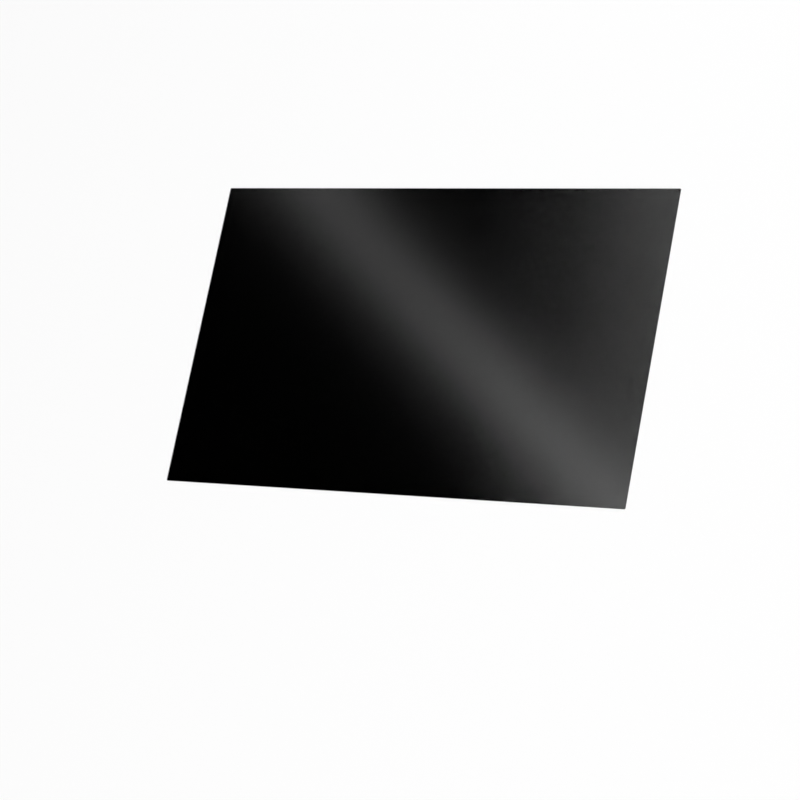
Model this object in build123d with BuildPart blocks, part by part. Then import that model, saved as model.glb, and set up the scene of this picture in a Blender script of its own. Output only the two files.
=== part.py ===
# Privacy filter in the 13.3 inch, 16:10 size: one stiff, flat sheet of laminated louvre film, cut out in one
# stroke by a die. All sizes are in millimetres.
#
# Frame: the sheet lies flat on its back face. The origin is at the centre of the back face, +X runs along
# the width, across the louvres, +Y up the height, along them, and +Z out of the front face, to the viewer.

import os

from build123d import *

# Driving dimensions
sheet_width = 286.5  # along X
sheet_height = 179.0  # along Y
sheet_thickness = 0.53  # along Z, the whole laminate
corner_radius = 0.6  # of the four corners in the outline
front_edge_rounding = 0.10  # the rim that the cutting die presses over as it enters
back_edge_chamfer = 0.05  # the rim that the die breaks as it leaves

os.makedirs("parts", exist_ok=True)

# The sheet: the die's outline, pressed through the laminate from the front face
with BuildPart() as filter_sheet:
    with BuildSketch(Plane.XY):
        RectangleRounded(sheet_width, sheet_height, corner_radius)
    extrude(amount=sheet_thickness)
    front_rim = filter_sheet.faces().sort_by(Axis.Z)[-1].edges()
    fillet(front_rim, radius=front_edge_rounding)
    back_rim = filter_sheet.faces().sort_by(Axis.Z)[0].edges()
    chamfer(back_rim, length=back_edge_chamfer)

filter_sheet.part.label = "filter_sheet"
export_step(filter_sheet.part, "parts/filter_sheet.step")
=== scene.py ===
import math

import bpy
from mathutils import Matrix, Vector


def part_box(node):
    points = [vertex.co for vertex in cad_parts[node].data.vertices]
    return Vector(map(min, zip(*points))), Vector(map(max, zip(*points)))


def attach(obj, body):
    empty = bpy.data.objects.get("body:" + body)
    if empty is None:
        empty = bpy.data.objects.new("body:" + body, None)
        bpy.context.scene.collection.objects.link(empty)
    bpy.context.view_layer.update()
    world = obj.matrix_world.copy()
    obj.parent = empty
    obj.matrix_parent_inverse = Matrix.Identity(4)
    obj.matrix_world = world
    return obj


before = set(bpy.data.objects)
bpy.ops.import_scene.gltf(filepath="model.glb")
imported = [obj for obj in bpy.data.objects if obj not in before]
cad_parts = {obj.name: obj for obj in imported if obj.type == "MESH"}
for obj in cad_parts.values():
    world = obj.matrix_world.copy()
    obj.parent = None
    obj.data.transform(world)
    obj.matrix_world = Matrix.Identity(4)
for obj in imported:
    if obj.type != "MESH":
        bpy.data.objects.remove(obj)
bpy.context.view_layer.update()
scene = bpy.context.scene
scene.view_settings.view_transform = "Standard"
mm = 0.001  # the frame is in metres, the sizes below are in millimetres
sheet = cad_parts["filter_sheet"]
sheetLow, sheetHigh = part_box("filter_sheet")


def hexColor(code):  # sRGB hex to the linear values that a colour socket takes
    channels = [int(code[i:i + 2], 16) / 255 for i in (1, 3, 5)]
    return (*[c / 12.92 if c <= 0.04045 else ((c + 0.055) / 1.055) ** 2.4 for c in channels], 1.0)


def addNode(tree, kind, inputs=None, **settings):
    # an input is a plain value or an output socket to link, and inputs that share a name go by number
    node = tree.nodes.new(kind)
    for name, value in settings.items():
        setattr(node, name, value)
    for name, value in (inputs or {}).items():
        if isinstance(value, bpy.types.NodeSocket):
            tree.links.new(value, node.inputs[name])
        else:
            node.inputs[name].default_value = value
    return node


def newMaterial(name):
    material = bpy.data.materials.new(name)
    material.use_nodes = True
    material.node_tree.nodes.clear()
    return material, material.node_tree


# Micro-louvres: black slats inside the film, standing along Y, that hide what is behind it from either side

louvres = {
    "pitch": 0.16,         # real ones are about 0.1 apart: drawn coarser, to keep the mesh light
    "rootWidth": 0.1456,   # at the back
    "tipWidth": 0.0096,    # towards the viewer: cast louvres taper
    "depth": 0.2535,       # with the gaps, this sets the angle at which the film turns black
    "depthSpread": 0.034,  # every other slat is this share shallower or deeper: it softens that angle
    "lift": 0.12,          # clear film behind them
    "inset": 0.15,         # clear film around them, inside the rounded rim
}
resin = {"dark": "#020202", "pale": "#060606", "clumpSize": 0.8, "roughness": 0.8}


def carbonBlackResin():
    # Carbon-black resin, cast into the film: it swallows light, and has no gloss, as its index is the film's
    material, tree = newMaterial("carbon_black_resin")
    place = addNode(tree, "ShaderNodeTexCoord").outputs["Object"]
    clumps = addNode(tree, "ShaderNodeTexNoise", {"Vector": place, "Detail": 2.0,
                                                  "Scale": 1 / (resin["clumpSize"] * mm)})
    color = addNode(tree, "ShaderNodeMix", {0: clumps.outputs[0], 6: hexColor(resin["dark"]),
                                            7: hexColor(resin["pale"])}, data_type="RGBA")
    shader = addNode(tree, "ShaderNodeBsdfPrincipled",
                     {"Base Color": color.outputs[2], "Roughness": resin["roughness"],
                      "Specular IOR Level": 0.0})
    addNode(tree, "ShaderNodeOutputMaterial", {"Surface": shader.outputs[0]})
    return material


def louvreTree(material):
    tree = bpy.data.node_groups.new("louvreArray", "GeometryNodeTree")
    for name in ("Run Width", "Slat Length", "Depth", "Pitch", "Root Width", "Tip Share", "Lift", "Shallow",
                 "Deep"):
        tree.interface.new_socket(name=name, in_out="INPUT", socket_type="NodeSocketFloat")
    tree.interface.new_socket(name="Geometry", in_out="OUTPUT", socket_type="NodeSocketGeometry")
    size = addNode(tree, "NodeGroupInput").outputs

    # a row of points: as many slats as fit, centred on the sheet
    spaces = addNode(tree, "ShaderNodeMath", {0: size["Run Width"], 1: size["Pitch"]}, operation="DIVIDE")
    count = addNode(tree, "ShaderNodeMath", {0: spaces.outputs[0]}, operation="FLOOR")
    steps = addNode(tree, "ShaderNodeMath", {0: count.outputs[0], 1: 1.0}, operation="SUBTRACT")
    half = addNode(tree, "ShaderNodeMath", {0: steps.outputs[0], 1: -0.5}, operation="MULTIPLY")
    startX = addNode(tree, "ShaderNodeMath", {0: half.outputs[0], 1: size["Pitch"]}, operation="MULTIPLY")
    start = addNode(tree, "ShaderNodeCombineXYZ", {"X": startX.outputs[0], "Z": size["Lift"]})
    step = addNode(tree, "ShaderNodeCombineXYZ", {"X": size["Pitch"]})
    row = addNode(tree, "GeometryNodeMeshLine",
                  {"Count": count.outputs[0], "Start Location": start.outputs[0], "Offset": step.outputs[0]})

    # one slat, standing on its root and narrowed at its tip
    slatSize = addNode(tree, "ShaderNodeCombineXYZ",
                       {"X": size["Root Width"], "Y": size["Slat Length"], "Z": size["Depth"]})
    slat = addNode(tree, "GeometryNodeMeshCube", {"Size": slatSize.outputs[0]})
    corner = addNode(tree, "GeometryNodeInputPosition")
    axes = addNode(tree, "ShaderNodeSeparateXYZ", {"Vector": corner.outputs[0]}).outputs
    atTip = addNode(tree, "ShaderNodeMath", {0: axes["Z"], 1: 0.0}, operation="GREATER_THAN")
    share = addNode(tree, "ShaderNodeMix", {0: atTip.outputs[0], 2: 1.0, 3: size["Tip Share"]})
    narrow = addNode(tree, "ShaderNodeMath", {0: axes["X"], 1: share.outputs[0]}, operation="MULTIPLY")
    raised = addNode(tree, "ShaderNodeMath", {0: size["Depth"], 1: 0.5, 2: axes["Z"]},
                     operation="MULTIPLY_ADD")
    moved = addNode(tree, "ShaderNodeCombineXYZ",
                    {"X": narrow.outputs[0], "Y": axes["Y"], "Z": raised.outputs[0]})
    tapered = addNode(tree, "GeometryNodeSetPosition",
                      {"Geometry": slat.outputs["Mesh"], "Position": moved.outputs[0]})

    # the slats on their points, shallow and deep in turn
    number = addNode(tree, "GeometryNodeInputIndex")
    isOdd = addNode(tree, "ShaderNodeMath", {0: number.outputs[0], 1: 2.0}, operation="MODULO")
    stretch = addNode(tree, "ShaderNodeMix", {0: isOdd.outputs[0], 2: size["Shallow"], 3: size["Deep"]})
    scale = addNode(tree, "ShaderNodeCombineXYZ", {"X": 1.0, "Y": 1.0, "Z": stretch.outputs[0]})
    array = addNode(tree, "GeometryNodeInstanceOnPoints",
                    {"Points": row.outputs["Mesh"], "Instance": tapered.outputs[0],
                     "Scale": scale.outputs[0]})
    real = addNode(tree, "GeometryNodeRealizeInstances", {"Geometry": array.outputs[0]})
    finished = addNode(tree, "GeometryNodeSetMaterial", {"Geometry": real.outputs[0], "Material": material})
    addNode(tree, "NodeGroupOutput", {"Geometry": finished.outputs[0]})
    return tree


def makeLouvres():
    sizes = {
        "Run Width": sheetHigh[0] - sheetLow[0] - 2 * louvres["inset"] * mm,
        "Slat Length": sheetHigh[1] - sheetLow[1] - 2 * louvres["inset"] * mm,
        "Depth": louvres["depth"] * mm,
        "Pitch": louvres["pitch"] * mm,
        "Root Width": louvres["rootWidth"] * mm,
        "Tip Share": louvres["tipWidth"] / louvres["rootWidth"],
        "Lift": sheetLow[2] + louvres["lift"] * mm,
        "Shallow": 1 - louvres["depthSpread"],
        "Deep": 1 + louvres["depthSpread"],
    }
    tree = louvreTree(carbonBlackResin())
    piece = bpy.data.objects.new("micro_louvres", bpy.data.meshes.new("micro_louvres"))
    scene.collection.objects.link(piece)
    maker = piece.modifiers.new("louvreArray", "NODES")
    maker.node_group = tree
    for socket in tree.interface.items_tree:
        if socket.in_out == "INPUT":
            maker[socket.identifier] = sizes[socket.name]
    made = piece.evaluated_get(bpy.context.evaluated_depsgraph_get())
    mesh = bpy.data.meshes.new_from_object(made)
    piece.modifiers.clear()
    piece.data = mesh
    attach(piece, "root")
    return piece


# Laminated film: the CAD sheet keeps its shape and gets its finish here

film = {
    "tint": "#FBFBFB",         # clear polyester
    "ior": 1.5,
    "frontRoughness": 0.10,    # satin hard coat
    "backRoughness": 0.30,     # matt side
    "streakSpacing": 9.0,      # coating lines, drawn out along Y
    "streakLength": 150.0,
    "streakDepth": 0.014,      # how far they change the roughness, end to end
    "mottleSize": 2.5,         # cloudiness of the hard coat
    "mottleDepth": 0.010,
    "rimReach": 0.06,          # how far the die's frosting runs in from the outline
    "rimColor": "#4A4C4E",     # clear layers of the cut edge, frosted by the die
    "rimCore": "#141516",      # louvre layer of the cut edge
    "rimRoughness": 0.50,
    "rimTransmission": 0.15,
}


def polyesterFilm():
    # Hard-coated polyester: clear, with a satin front that softens what it mirrors and a die-cut, frosted rim
    material, tree = newMaterial("hard_coated_polyester_film")
    place = addNode(tree, "ShaderNodeTexCoord").outputs["Object"]
    axes = addNode(tree, "ShaderNodeSeparateXYZ", {"Vector": place}).outputs

    # the rim: everything past the edge of the flat faces
    awayX = addNode(tree, "ShaderNodeMath", {0: axes["X"]}, operation="ABSOLUTE")
    awayY = addNode(tree, "ShaderNodeMath", {0: axes["Y"]}, operation="ABSOLUTE")
    endRim = addNode(tree, "ShaderNodeMath", {0: awayX.outputs[0], 1: sheetHigh[0] - film["rimReach"] * mm},
                     operation="GREATER_THAN")
    sideRim = addNode(tree, "ShaderNodeMath", {0: awayY.outputs[0], 1: sheetHigh[1] - film["rimReach"] * mm},
                      operation="GREATER_THAN")
    rim = addNode(tree, "ShaderNodeMath", {0: endRim.outputs[0], 1: sideRim.outputs[0]}, operation="MAXIMUM")

    # its colour: a dark louvre layer between two clear ones
    coreMiddle = sheetLow[2] + (louvres["lift"] + louvres["depth"] / 2) * mm
    core = addNode(tree, "ShaderNodeMath", {0: axes["Z"], 1: coreMiddle, 2: louvres["depth"] / 2 * mm},
                   operation="COMPARE")
    cutEdge = addNode(tree, "ShaderNodeMix", {0: core.outputs[0], 6: hexColor(film["rimColor"]),
                                              7: hexColor(film["rimCore"])}, data_type="RGBA")
    color = addNode(tree, "ShaderNodeMix", {0: rim.outputs[0], 6: hexColor(film["tint"]),
                                            7: cutEdge.outputs[2]}, data_type="RGBA")

    # the finish of the faces: coating lines and a faint cloudiness, both only in the gloss
    stretched = addNode(tree, "ShaderNodeMapping",
                        {"Vector": place, "Scale": (1.0, film["streakSpacing"] / film["streakLength"], 1.0)})
    streaks = addNode(tree, "ShaderNodeTexNoise", {"Vector": stretched.outputs[0], "Detail": 3.0,
                                                   "Scale": 1 / (film["streakSpacing"] * mm)})
    mottle = addNode(tree, "ShaderNodeTexNoise", {"Vector": place, "Detail": 2.0,
                                                  "Scale": 1 / (film["mottleSize"] * mm)})
    front = addNode(tree, "ShaderNodeMath", {0: axes["Z"], 1: (sheetLow[2] + sheetHigh[2]) / 2},
                    operation="GREATER_THAN")
    faces = addNode(tree, "ShaderNodeMix", {0: front.outputs[0], 2: film["backRoughness"],
                                            3: film["frontRoughness"]})
    lined = addNode(tree, "ShaderNodeMath",
                    {0: streaks.outputs[0], 1: film["streakDepth"], 2: faces.outputs[0]},
                    operation="MULTIPLY_ADD")
    clouded = addNode(tree, "ShaderNodeMath",
                      {0: mottle.outputs[0], 1: film["mottleDepth"], 2: lined.outputs[0]},
                      operation="MULTIPLY_ADD")
    centred = addNode(tree, "ShaderNodeMath",
                      {0: clouded.outputs[0], 1: (film["streakDepth"] + film["mottleDepth"]) / 2},
                      operation="SUBTRACT")
    roughness = addNode(tree, "ShaderNodeMix", {0: rim.outputs[0], 2: centred.outputs[0],
                                                3: film["rimRoughness"]})
    clear = addNode(tree, "ShaderNodeMix", {0: rim.outputs[0], 2: 1.0, 3: film["rimTransmission"]})
    shader = addNode(tree, "ShaderNodeBsdfPrincipled",
                     {"Base Color": color.outputs[2], "Roughness": roughness.outputs[0], "IOR": film["ior"],
                      "Transmission Weight": clear.outputs[0]})
    addNode(tree, "ShaderNodeOutputMaterial", {"Surface": shader.outputs[0]})
    return material


sheet.material_slots[0].material = polyesterFilm()
print("film finished")
slats = makeLouvres()
print("louvres", len(slats.data.polygons), "faces")


# Stage: floor, surroundings, lamps and camera

plainWhite = hexColor("#FFFFFF")


def fromAngles(azimuth, elevation):  # azimuth counts from +X towards +Y
    a, e = math.radians(azimuth), math.radians(elevation)
    return Vector((math.cos(a) * math.cos(e), math.sin(a) * math.cos(e), math.sin(e)))


def makeCard(name, halfWidth, halfLength, material):  # a flat rectangle that faces +Z
    mesh = bpy.data.meshes.new(name)
    corners = [(-halfWidth, -halfLength, 0), (halfWidth, -halfLength, 0), (halfWidth, halfLength, 0),
               (-halfWidth, halfLength, 0)]
    mesh.from_pydata(corners, [], [(0, 1, 2, 3)])
    mesh.materials.append(material)
    card = bpy.data.objects.new(name, mesh)
    scene.collection.objects.link(card)
    return card


ground = {
    "drop": 0.05,          # just under the sheet
    "halfSize": 12000.0,
    "color": "#F4F4F4",
    "whiteShare": 0.72,    # the part of its paleness that is plain white, beside what the lamps give
    "whiteFrom": 400.0,    # it turns all white from here
    "whiteTo": 1000.0,     # to here, so that it has no horizon
}


def palePaper():
    # Matt white paper: partly plain white to the camera and in reflections, and all white through the film
    material, tree = newMaterial("pale_paper_floor")
    ray = addNode(tree, "ShaderNodeLightPath").outputs
    direct = addNode(tree, "ShaderNodeMath", {0: ray["Is Camera Ray"], 1: ray["Is Glossy Ray"]},
                     operation="ADD", use_clamp=True)
    place = addNode(tree, "ShaderNodeTexCoord").outputs["Object"]
    away = addNode(tree, "ShaderNodeVectorMath", {0: place}, operation="LENGTH")
    whiteness = addNode(tree, "ShaderNodeMapRange",
                        {"Value": away.outputs["Value"], "From Min": ground["whiteFrom"] * mm,
                         "From Max": ground["whiteTo"] * mm, "To Min": ground["whiteShare"], "To Max": 1.0},
                        interpolation_type="SMOOTHSTEP")
    share = addNode(tree, "ShaderNodeMath", {0: direct.outputs[0], 1: whiteness.outputs[0]},
                    operation="MULTIPLY")
    white = addNode(tree, "ShaderNodeMath", {0: share.outputs[0], 1: ray["Is Transmission Ray"]},
                    operation="MAXIMUM")
    paper = addNode(tree, "ShaderNodeBsdfDiffuse", {"Color": hexColor(ground["color"])})
    plain = addNode(tree, "ShaderNodeEmission", {"Color": plainWhite, "Strength": 1.0})
    lit = addNode(tree, "ShaderNodeMixShader",
                  {0: white.outputs[0], 1: paper.outputs[0], 2: plain.outputs[0]})
    addNode(tree, "ShaderNodeOutputMaterial", {"Surface": lit.outputs[0]})
    return material


def makeFloor():
    half = ground["halfSize"] * mm
    floor = makeCard("floor", half, half, palePaper())
    floor.location.z = sheetLow[2] - ground["drop"] * mm


sky = {"horizon": 0.16, "zenith": 0.0, "darkFrom": 38.0}  # it dims from the horizon to this elevation


def makeSky():
    world = bpy.data.worlds.new("studio")
    world.use_nodes = True
    scene.world = world
    tree = world.node_tree
    tree.nodes.clear()
    way = addNode(tree, "ShaderNodeTexCoord")
    axes = addNode(tree, "ShaderNodeSeparateXYZ", {"Vector": way.outputs["Generated"]}).outputs
    level = addNode(tree, "ShaderNodeMapRange",
                    {"Value": axes["Z"], "From Max": math.sin(math.radians(sky["darkFrom"])),
                     "To Min": sky["horizon"], "To Max": sky["zenith"]}, interpolation_type="SMOOTHSTEP")
    ray = addNode(tree, "ShaderNodeLightPath").outputs
    strength = addNode(tree, "ShaderNodeMix", {0: ray["Is Camera Ray"], 2: level.outputs[0], 3: 1.0})
    background = addNode(tree, "ShaderNodeBackground", {"Color": plainWhite, "Strength": strength.outputs[0]})
    addNode(tree, "ShaderNodeOutputWorld", {"Surface": background.outputs[0]})


softboxes = {  # they light the floor and the rim, and the film doesn't mirror them
    "keyBox": {"azimuth": -100.0, "elevation": 55.0, "distance": 2200.0, "size": (1400.0, 1000.0),
               "glow": 6.2},
    "backBox": {"azimuth": 75.0, "elevation": 50.0, "distance": 2200.0, "size": (1400.0, 1000.0),
                "glow": 6.2},
    "sideBox": {"azimuth": 0.0, "elevation": 40.0, "distance": 2500.0, "size": (1200.0, 1000.0),
                "glow": 5.6},
}


def makeSoftbox(name, spec):
    width, height = [side * mm for side in spec["size"]]
    lamp = bpy.data.lights.new(name, "AREA")
    lamp.shape = "RECTANGLE"
    lamp.size = width
    lamp.size_y = height
    lamp.energy = spec["glow"] * math.pi * width * height  # so that glow is how bright its face is
    holder = bpy.data.objects.new(name, lamp)
    out = fromAngles(spec["azimuth"], spec["elevation"])
    holder.location = out * spec["distance"] * mm
    holder.rotation_euler = out.to_track_quat("Z", "Y").to_euler()
    holder.visible_camera = False
    holder.visible_glossy = False
    scene.collection.objects.link(holder)


# Strip lights, which the film mirrors as soft slanting bands

stripCard = {
    "distance": 1500.0,
    "reach": 4.0,  # its half width, in spreads
    "fade": 0.3,   # share of its half length over which the ends fade out
}
evenStrip = {  # places along a strip count from its middle
    "shift": (0.0, 0.0),  # sideways and up from where its angles point
    "rise": (-100.0, 100.0),  # it goes from the first brightness to the second between these places
    "foot": {"top": 0.0, "side": 0.0, "flare": 0.0},  # below its top the foot bends aside and widens
}
strips = {  # spread is the width of the bell across a strip
    "mainStrip": {  # the photograph's band
        "azimuth": 150.06, "elevation": 55.72, "shift": (-24.24, 43.1), "lean": 10.06, "length": 1000.0,
        "spread": 24.5, "bright": (1.30, 2.07), "rise": (-165.0, 145.0),
        "foot": {"top": -152.0, "side": -34.8, "flare": 0.3}},
    "besideGlow": {  # for the dark stretch beside the band
        **evenStrip, "azimuth": 141.2, "elevation": 54.5, "lean": 3.0, "length": 200.0, "spread": 25.0,
        "bright": (0.04, 0.04)},
    "cornerGlow": {  # for the pale end of the fade
        **evenStrip, "azimuth": 124.1, "elevation": 57.5, "lean": 41.0, "length": 300.0, "spread": 34.0,
        "bright": (0.34, 0.34)},
    "topStrip": {  # for views from above
        **evenStrip, "azimuth": -60.0, "elevation": 86.0, "lean": 40.0, "length": 700.0, "spread": 40.0,
        "bright": (1.1, 1.1)},
}
ring = {  # strips all round, for views from the other sides
    "turns": range(0, 360, 45),
    "lean": 14.0,
    "spread": 40.0,
    "bright": (0.4, 1.1),
    "rise": (0.0, 15.0),  # in degrees of elevation: they are dim near the floor
    "tall": {"elevation": 20.0, "offset": 3.0, "length": 2400.0},
    "low": {"elevation": 5.0, "offset": -1.0, "length": 1800.0},
    "lowAt": (135, 180),  # where a tall one would show in the main view
}


def ringStrip(turn):
    kind = ring["low"] if turn in ring["lowAt"] else ring["tall"]
    angles = [math.radians(elevation - kind["elevation"]) for elevation in ring["rise"]]
    return {**evenStrip, "azimuth": turn + kind["offset"], "elevation": kind["elevation"],
            "lean": ring["lean"], "length": kind["length"], "spread": ring["spread"],
            "bright": ring["bright"], "rise": [stripCard["distance"] * math.tan(angle) for angle in angles]}


def stripGlow(spec):
    # Glow alone, which hides nothing behind it: a bell across the strip, fading out at both ends
    material, tree = newMaterial("strip_light_diffuser")
    place = addNode(tree, "ShaderNodeTexCoord").outputs["Object"]
    axes = addNode(tree, "ShaderNodeSeparateXYZ", {"Vector": place}).outputs
    halfLength = spec["length"] / 2 * mm
    foot = spec["foot"]

    # across: how many spreads a point is from the middle line
    middle = addNode(tree, "ShaderNodeMapRange",
                     {"Value": axes["Y"], "From Min": -halfLength, "From Max": foot["top"] * mm,
                      "To Min": foot["side"] * mm, "To Max": 0.0})
    spread = addNode(tree, "ShaderNodeMath",
                     {0: middle.outputs[0], 1: -foot["flare"], 2: spec["spread"] * mm},
                     operation="MULTIPLY_ADD")
    off = addNode(tree, "ShaderNodeMath", {0: axes["X"], 1: middle.outputs[0]}, operation="SUBTRACT")
    spreads = addNode(tree, "ShaderNodeMath", {0: off.outputs[0], 1: spread.outputs[0]}, operation="DIVIDE")
    square = addNode(tree, "ShaderNodeMath", {0: spreads.outputs[0], 1: 2.0}, operation="POWER")
    bell = addNode(tree, "ShaderNodeMath", {0: math.exp(-0.5), 1: square.outputs[0]}, operation="POWER")

    # along: its rise, and the fade at its ends
    rise = addNode(tree, "ShaderNodeMapRange",
                   {"Value": axes["Y"], "From Min": spec["rise"][0] * mm, "From Max": spec["rise"][1] * mm,
                    "To Min": spec["bright"][0], "To Max": spec["bright"][1]},
                   interpolation_type="SMOOTHSTEP")
    away = addNode(tree, "ShaderNodeMath", {0: axes["Y"]}, operation="ABSOLUTE")
    fade = addNode(tree, "ShaderNodeMapRange",
                   {"Value": away.outputs[0], "From Min": halfLength * (1 - stripCard["fade"]),
                    "From Max": halfLength, "To Min": 1.0, "To Max": 0.0}, interpolation_type="SMOOTHSTEP")
    crest = addNode(tree, "ShaderNodeMath", {0: rise.outputs[0], 1: fade.outputs[0]}, operation="MULTIPLY")

    strength = addNode(tree, "ShaderNodeMath", {0: bell.outputs[0], 1: crest.outputs[0]},
                       operation="MULTIPLY")
    glow = addNode(tree, "ShaderNodeEmission", {"Color": plainWhite, "Strength": strength.outputs[0]})
    through = addNode(tree, "ShaderNodeBsdfTransparent")
    both = addNode(tree, "ShaderNodeAddShader", {0: glow.outputs[0], 1: through.outputs[0]})
    addNode(tree, "ShaderNodeOutputMaterial", {"Surface": both.outputs[0]})
    return material


def makeStrip(name, spec):
    out = fromAngles(spec["azimuth"], spec["elevation"])
    level = Vector((0, 0, 1)).cross(out).normalized()
    up = out.cross(level)
    lean = math.radians(spec["lean"])
    along = level * math.sin(lean) + up * math.cos(lean)
    across = along.cross(out).normalized()
    card = makeCard(name, stripCard["reach"] * spec["spread"] * mm, spec["length"] / 2 * mm, stripGlow(spec))
    card.matrix_world = Matrix((across, along, across.cross(along))).transposed().to_4x4()
    card.location = (out * stripCard["distance"] + level * spec["shift"][0] + up * spec["shift"][1]) * mm
    card.visible_camera = False
    card.visible_diffuse = False
    card.visible_shadow = False


view = {  # the photograph's view of the sheet, with the sheet lying flat
    "azimuth": -27.788,
    "elevation": 56.194,
    "distance": 1535.84,
    "aim": (-2.62, -35.52, 0.0),
    "roll": -55.117,
    "lens": 126.0,
    "sensor": 36.0,  # width, for a square picture
    "clip": (50.0, 100000.0),
}


def makeCamera():
    camera = bpy.data.cameras.new("camera")
    camera.lens = view["lens"]
    camera.sensor_width = view["sensor"]
    camera.sensor_fit = "HORIZONTAL"
    camera.clip_start, camera.clip_end = [length * mm for length in view["clip"]]
    holder = bpy.data.objects.new("camera", camera)
    out = fromAngles(view["azimuth"], view["elevation"])
    holder.location = Vector(view["aim"]) * mm + out * view["distance"] * mm
    upright = (-out).to_track_quat("-Z", "Y").to_matrix()
    holder.rotation_euler = (upright @ Matrix.Rotation(math.radians(view["roll"]), 3, "Z")).to_euler()
    scene.collection.objects.link(holder)
    scene.camera = holder


makeFloor()
makeSky()
for name, spec in softboxes.items():
    makeSoftbox(name, spec)
strips.update({f"strip{turn}": ringStrip(turn) for turn in ring["turns"]})
for name, spec in strips.items():
    makeStrip(name, spec)
makeCamera()
print("stage ready,", len(strips), "strips")
